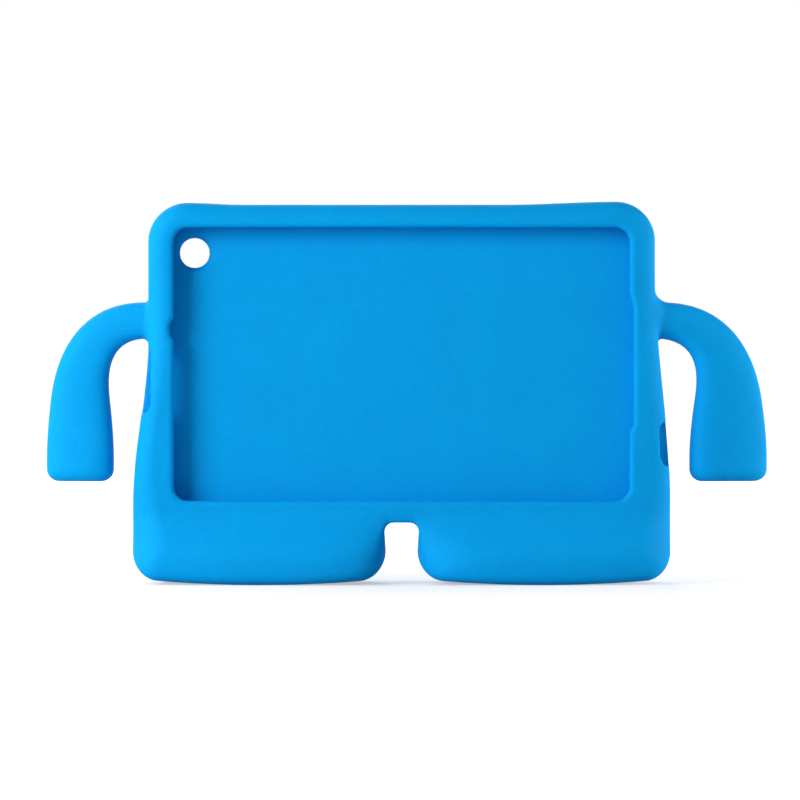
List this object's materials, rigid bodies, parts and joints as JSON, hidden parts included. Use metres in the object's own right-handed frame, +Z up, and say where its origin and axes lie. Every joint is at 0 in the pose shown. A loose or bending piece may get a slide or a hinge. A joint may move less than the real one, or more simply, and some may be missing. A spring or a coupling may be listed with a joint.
{
  "type": "kids tablet case",
  "caption": "Soft one-piece foam case for a small tablet, with a window for the screen, two curved arms to carry it by and two feet to stand on.",
  "frame": {"origin": "on the surface that the case stands on, under the middle of its bounding box", "axes": "+X to the right as the window faces the viewer, +Y to the back, +Z up"},
  "size_m": [0.314, 0.052, 0.1656],
  "materials": {
    "foam": "matt closed-cell foam with a fine moulded skin"
  },
  "bodies": {
    "root": {"foam_case": "foam"}
  },
  "joints": []
}
